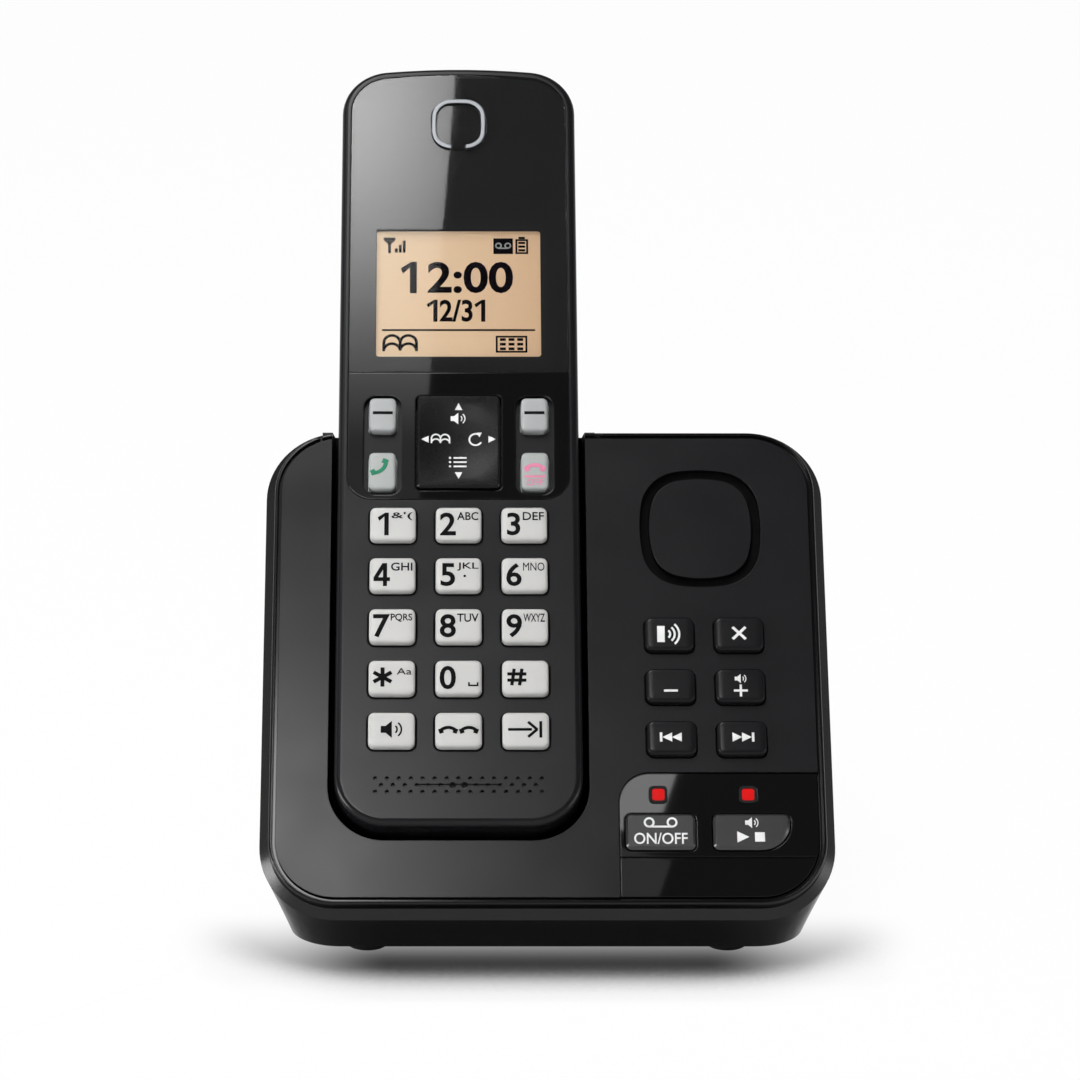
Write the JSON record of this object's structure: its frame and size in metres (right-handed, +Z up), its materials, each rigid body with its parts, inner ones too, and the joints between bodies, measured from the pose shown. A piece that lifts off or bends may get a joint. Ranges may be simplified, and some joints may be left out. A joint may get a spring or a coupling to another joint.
{
  "type": "cordless telephone",
  "caption": "Cordless telephone: a slim keypad handset with a display stands in the cradle of a tilted, wedge-shaped answering and charging base with message keys.",
  "frame": {"origin": "on the table below the middle of the whole telephone's bounding box", "axes": "+Z up, +Y to the back wall of the base, +X to the right as seen by the person using it"},
  "size_m": [0.111, 0.1332, 0.149],
  "materials": {
    "base_shell": "fine matte texture",
    "handset_shell": "fine matte texture",
    "gloss_black": "polished",
    "clear_lens": "clear acrylic, polished",
    "chrome_trim": "bright plated",
    "capsule_metal": "satin",
    "display_amber": "satin",
    "light_guide": "white",
    "circuit_board": "solder mask",
    "mat_rubber": "matte",
    "speaker_metal": "black",
    "battery_sleeve": "plain sleeve",
    "contact_metal": "plated",
    "screw_steel": "zinc plated",
    "lamp_red": "tinted clear",
    "socket_plastic": "moulded",
    "foot_rubber": "matte",
    "navigator_black": "satin gloss",
    "keypad_grey": "satin",
    "soft_key_silver": "silver paint",
    "call_key_pale": "satin",
    "base_key_grey": "satin",
    "wide_key_grey": "satin"
  },
  "bodies": {
    "base": {"base_top_cover": "base_shell", "base_bottom_case": "base_shell", "base_control_panel": "gloss_black", "indicator_lenses": "lamp_red", "base_speaker": "speaker_metal", "base_circuit_board": "circuit_board", "base_key_mat": "mat_rubber", "charge_contacts": "contact_metal", "power_socket": "socket_plastic", "line_socket": "socket_plastic", "rubber_feet": "foot_rubber", "base_screws": "screw_steel"},
    "handset": {"handset_front_case": "handset_shell", "handset_rear_case": "handset_shell", "battery_cover": "handset_shell", "display_lens": "clear_lens", "control_bezel": "gloss_black", "earpiece_ring": "chrome_trim", "earpiece_receiver": "capsule_metal", "lcd_module": "display_amber", "lcd_backlight": "light_guide", "handset_circuit_board": "circuit_board", "handset_key_mat": "mat_rubber", "handset_microphone": "capsule_metal", "handset_loudspeaker": "speaker_metal", "battery_cells": "battery_sleeve", "battery_contacts": "contact_metal", "handset_charge_contacts": "contact_metal", "handset_screws": "screw_steel"},
    "key_1": {"key_1": "keypad_grey"},
    "key_2": {"key_2": "keypad_grey"},
    "key_3": {"key_3": "keypad_grey"},
    "key_4": {"key_4": "keypad_grey"},
    "key_5": {"key_5": "keypad_grey"},
    "key_6": {"key_6": "keypad_grey"},
    "key_7": {"key_7": "keypad_grey"},
    "key_8": {"key_8": "keypad_grey"},
    "key_9": {"key_9": "keypad_grey"},
    "key_star": {"key_star": "keypad_grey"},
    "key_0": {"key_0": "keypad_grey"},
    "key_pound": {"key_pound": "keypad_grey"},
    "key_speakerphone": {"key_speakerphone": "keypad_grey"},
    "key_intercom": {"key_intercom": "keypad_grey"},
    "key_flash": {"key_flash": "keypad_grey"},
    "soft_key_left": {"soft_key_left": "soft_key_silver"},
    "soft_key_right": {"soft_key_right": "soft_key_silver"},
    "talk_key": {"talk_key": "call_key_pale"},
    "off_key": {"off_key": "call_key_pale"},
    "locator_key": {"locator_key": "base_key_grey"},
    "erase_key": {"erase_key": "base_key_grey"},
    "volume_down_key": {"volume_down_key": "base_key_grey"},
    "volume_up_key": {"volume_up_key": "base_key_grey"},
    "rewind_key": {"rewind_key": "base_key_grey"},
    "forward_key": {"forward_key": "base_key_grey"},
    "answer_key": {"answer_key": "wide_key_grey"},
    "play_stop_key": {"play_stop_key": "wide_key_grey"},
    "navigator_pivot": {"navigator_pivot": "mat_rubber"},
    "navigator_key": {"navigator_key": "navigator_black"}
  },
  "joints": [
    {"name": "handset_lift", "type": "slide", "parent": "base", "child": "handset", "axis": [0, 0.6691, 0.7431], "range_m": [0, 0.095]},
    {"name": "key_1_press", "type": "slide", "parent": "handset", "child": "key_1", "axis": [0, 0.7431, -0.6691], "range_m": [0, 0.0006], "stiffness_N_per_m": 1500, "deforming": ["handset_key_mat"]},
    {"name": "key_2_press", "type": "slide", "parent": "handset", "child": "key_2", "axis": [0, 0.7431, -0.6691], "range_m": [0, 0.0006], "stiffness_N_per_m": 1500, "deforming": ["handset_key_mat"]},
    {"name": "key_3_press", "type": "slide", "parent": "handset", "child": "key_3", "axis": [0, 0.7431, -0.6691], "range_m": [0, 0.0006], "stiffness_N_per_m": 1500, "deforming": ["handset_key_mat"]},
    {"name": "key_4_press", "type": "slide", "parent": "handset", "child": "key_4", "axis": [0, 0.7431, -0.6691], "range_m": [0, 0.0006], "stiffness_N_per_m": 1500, "deforming": ["handset_key_mat"]},
    {"name": "key_5_press", "type": "slide", "parent": "handset", "child": "key_5", "axis": [0, 0.7431, -0.6691], "range_m": [0, 0.0006], "stiffness_N_per_m": 1500, "deforming": ["handset_key_mat"]},
    {"name": "key_6_press", "type": "slide", "parent": "handset", "child": "key_6", "axis": [0, 0.7431, -0.6691], "range_m": [0, 0.0006], "stiffness_N_per_m": 1500, "deforming": ["handset_key_mat"]},
    {"name": "key_7_press", "type": "slide", "parent": "handset", "child": "key_7", "axis": [0, 0.7431, -0.6691], "range_m": [0, 0.0006], "stiffness_N_per_m": 1500, "deforming": ["handset_key_mat"]},
    {"name": "key_8_press", "type": "slide", "parent": "handset", "child": "key_8", "axis": [0, 0.7431, -0.6691], "range_m": [0, 0.0006], "stiffness_N_per_m": 1500, "deforming": ["handset_key_mat"]},
    {"name": "key_9_press", "type": "slide", "parent": "handset", "child": "key_9", "axis": [0, 0.7431, -0.6691], "range_m": [0, 0.0006], "stiffness_N_per_m": 1500, "deforming": ["handset_key_mat"]},
    {"name": "key_star_press", "type": "slide", "parent": "handset", "child": "key_star", "axis": [0, 0.7431, -0.6691], "range_m": [0, 0.0006], "stiffness_N_per_m": 1500, "deforming": ["handset_key_mat"]},
    {"name": "key_0_press", "type": "slide", "parent": "handset", "child": "key_0", "axis": [0, 0.7431, -0.6691], "range_m": [0, 0.0006], "stiffness_N_per_m": 1500, "deforming": ["handset_key_mat"]},
    {"name": "key_pound_press", "type": "slide", "parent": "handset", "child": "key_pound", "axis": [0, 0.7431, -0.6691], "range_m": [0, 0.0006], "stiffness_N_per_m": 1500, "deforming": ["handset_key_mat"]},
    {"name": "key_speakerphone_press", "type": "slide", "parent": "handset", "child": "key_speakerphone", "axis": [0, 0.7431, -0.6691], "range_m": [0, 0.0006], "stiffness_N_per_m": 1500, "deforming": ["handset_key_mat"]},
    {"name": "key_intercom_press", "type": "slide", "parent": "handset", "child": "key_intercom", "axis": [0, 0.7431, -0.6691], "range_m": [0, 0.0006], "stiffness_N_per_m": 1500, "deforming": ["handset_key_mat"]},
    {"name": "key_flash_press", "type": "slide", "parent": "handset", "child": "key_flash", "axis": [0, 0.7431, -0.6691], "range_m": [0, 0.0006], "stiffness_N_per_m": 1500, "deforming": ["handset_key_mat"]},
    {"name": "soft_key_left_press", "type": "slide", "parent": "handset", "child": "soft_key_left", "axis": [0, 0.7431, -0.6691], "range_m": [0, 0.0006], "stiffness_N_per_m": 1500, "deforming": ["handset_key_mat"]},
    {"name": "soft_key_right_press", "type": "slide", "parent": "handset", "child": "soft_key_right", "axis": [0, 0.7431, -0.6691], "range_m": [0, 0.0006], "stiffness_N_per_m": 1500, "deforming": ["handset_key_mat"]},
    {"name": "talk_key_press", "type": "slide", "parent": "handset", "child": "talk_key", "axis": [0, 0.7431, -0.6691], "range_m": [0, 0.0006], "stiffness_N_per_m": 1500, "deforming": ["handset_key_mat"]},
    {"name": "off_key_press", "type": "slide", "parent": "handset", "child": "off_key", "axis": [0, 0.7431, -0.6691], "range_m": [0, 0.0006], "stiffness_N_per_m": 1500, "deforming": ["handset_key_mat"]},
    {"name": "locator_key_press", "type": "slide", "parent": "base", "child": "locator_key", "axis": [0, 0.7431, -0.6691], "range_m": [0, 0.0006], "stiffness_N_per_m": 1500, "deforming": ["base_key_mat"]},
    {"name": "erase_key_press", "type": "slide", "parent": "base", "child": "erase_key", "axis": [0, 0.7431, -0.6691], "range_m": [0, 0.0006], "stiffness_N_per_m": 1500, "deforming": ["base_key_mat"]},
    {"name": "volume_down_key_press", "type": "slide", "parent": "base", "child": "volume_down_key", "axis": [0, 0.7431, -0.6691], "range_m": [0, 0.0006], "stiffness_N_per_m": 1500, "deforming": ["base_key_mat"]},
    {"name": "volume_up_key_press", "type": "slide", "parent": "base", "child": "volume_up_key", "axis": [0, 0.7431, -0.6691], "range_m": [0, 0.0006], "stiffness_N_per_m": 1500, "deforming": ["base_key_mat"]},
    {"name": "rewind_key_press", "type": "slide", "parent": "base", "child": "rewind_key", "axis": [0, 0.7431, -0.6691], "range_m": [0, 0.0006], "stiffness_N_per_m": 1500, "deforming": ["base_key_mat"]},
    {"name": "forward_key_press", "type": "slide", "parent": "base", "child": "forward_key", "axis": [0, 0.7431, -0.6691], "range_m": [0, 0.0006], "stiffness_N_per_m": 1500, "deforming": ["base_key_mat"]},
    {"name": "answer_key_press", "type": "slide", "parent": "base", "child": "answer_key", "axis": [0, 0.7431, -0.6691], "range_m": [0, 0.0006], "stiffness_N_per_m": 1500, "deforming": ["base_key_mat"]},
    {"name": "play_stop_key_press", "type": "slide", "parent": "base", "child": "play_stop_key", "axis": [0, 0.7431, -0.6691], "range_m": [0, 0.0006], "stiffness_N_per_m": 1500, "deforming": ["base_key_mat"]},
    {"name": "navigator_rock_up_down", "type": "hinge", "parent": "handset", "child": "navigator_pivot", "pos_m": [-0.0171, -0.00252, 0.08275], "axis": [1, 0, 0], "range_deg": [-2, 2], "stiffness_Nm_per_rad": 0.15, "deforming": ["handset_key_mat"]},
    {"name": "navigator_rock_left_right", "type": "hinge", "parent": "navigator_pivot", "child": "navigator_key", "pos_m": [-0.0171, -0.00252, 0.08275], "axis": [0, 0.6691, 0.7431], "range_deg": [-2, 2], "stiffness_Nm_per_rad": 0.15}
  ]
}
